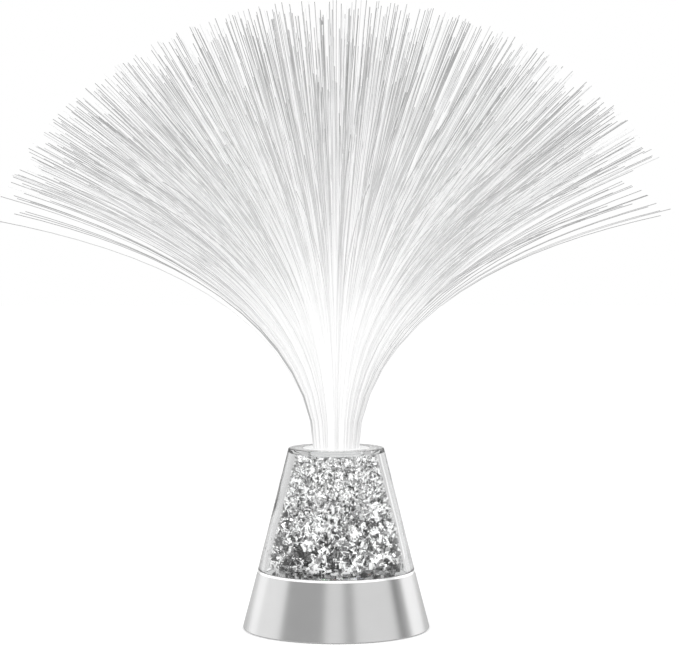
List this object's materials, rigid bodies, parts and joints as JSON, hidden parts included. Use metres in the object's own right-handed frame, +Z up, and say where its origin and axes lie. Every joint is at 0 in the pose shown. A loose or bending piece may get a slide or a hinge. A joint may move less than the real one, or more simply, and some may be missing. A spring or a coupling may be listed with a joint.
{
  "type": "fiber optic lamp",
  "caption": "Battery lamp with a conical metal base, a clear dome of foil shreds, and a plug-in spray of fine light fibres fanning out above.",
  "frame": {"origin": "on the ground, under the lamp's vertical axis", "axes": "+Z up the lamp's axis, -Y towards the viewer of the picture (the battery door's finger tongue), +X to the viewer's right (the slide switch)"},
  "size_m": [0.3348, 0.3348, 0.3308],
  "materials": {
    "silver": "satin silver",
    "black_plastic": "moulded, fine grain",
    "foot_rubber": "matte",
    "screw_steel": "plated",
    "cell_can": "plain printed can, no name",
    "spring_steel": "bright spring wire",
    "contact_steel": "plated strip",
    "switch_body": "moulded",
    "switch_knob": "moulded, ridged",
    "board": "green solder mask",
    "led_clear": "water-clear epoxy",
    "chip": "moulded",
    "black_wire": "insulation",
    "red_wire": "insulation",
    "deck_mirror": "metallised plastic",
    "clear_dome": "clear, polished",
    "foil": "silver metallised film",
    "white_ferrule": "moulded, white",
    "fibre": "clear to frosted polymer fibre"
  },
  "bodies": {
    "base": {"base_housing": "silver", "base_plate": "black_plastic", "rubber_foot_1": "foot_rubber", "rubber_foot_2": "foot_rubber", "rubber_foot_3": "foot_rubber", "rubber_foot_4": "foot_rubber", "base_screw_1": "screw_steel", "base_screw_2": "screw_steel", "base_screw_3": "screw_steel", "base_screw_4": "screw_steel", "board_screw_1": "screw_steel", "board_screw_2": "screw_steel", "battery_1": "cell_can", "battery_2": "cell_can", "battery_3": "cell_can", "spring_contact_1": "spring_steel", "spring_contact_2": "spring_steel", "spring_contact_3": "spring_steel", "plate_contact_1": "contact_steel", "plate_contact_2": "contact_steel", "plate_contact_3": "contact_steel", "slide_switch_body": "switch_body", "led_board": "board", "led_red": "led_clear", "led_green": "led_clear", "led_blue": "led_clear", "colour_chip": "chip", "battery_wire_1": "black_wire", "battery_wire_2": "red_wire", "switch_wire": "black_wire", "reflector_deck": "deck_mirror", "crystal_dome": "clear_dome", "core_tube": "clear_dome", "foil_shreds": "foil"},
    "spray": {"bundle_ferrule": "white_ferrule", "fibre_quarter_1": "fibre", "fibre_quarter_2": "fibre", "fibre_quarter_3": "fibre", "fibre_quarter_4": "fibre"},
    "door": {"battery_door": "black_plastic"},
    "knob": {"switch_knob": "switch_knob"}
  },
  "joints": [
    {"name": "spray_lift", "type": "slide", "parent": "base", "child": "spray", "axis": [0, 0, 1], "range_m": [0, 0.034]},
    {"name": "door_hinge", "type": "hinge", "parent": "base", "child": "door", "pos_m": [0, 0.0294, 0.0036], "axis": [1, 0, 0], "range_deg": [0, 95]},
    {"name": "switch_slide", "type": "slide", "parent": "base", "child": "knob", "axis": [0, 1, 0], "range_m": [-0.004, 0]}
  ]
}
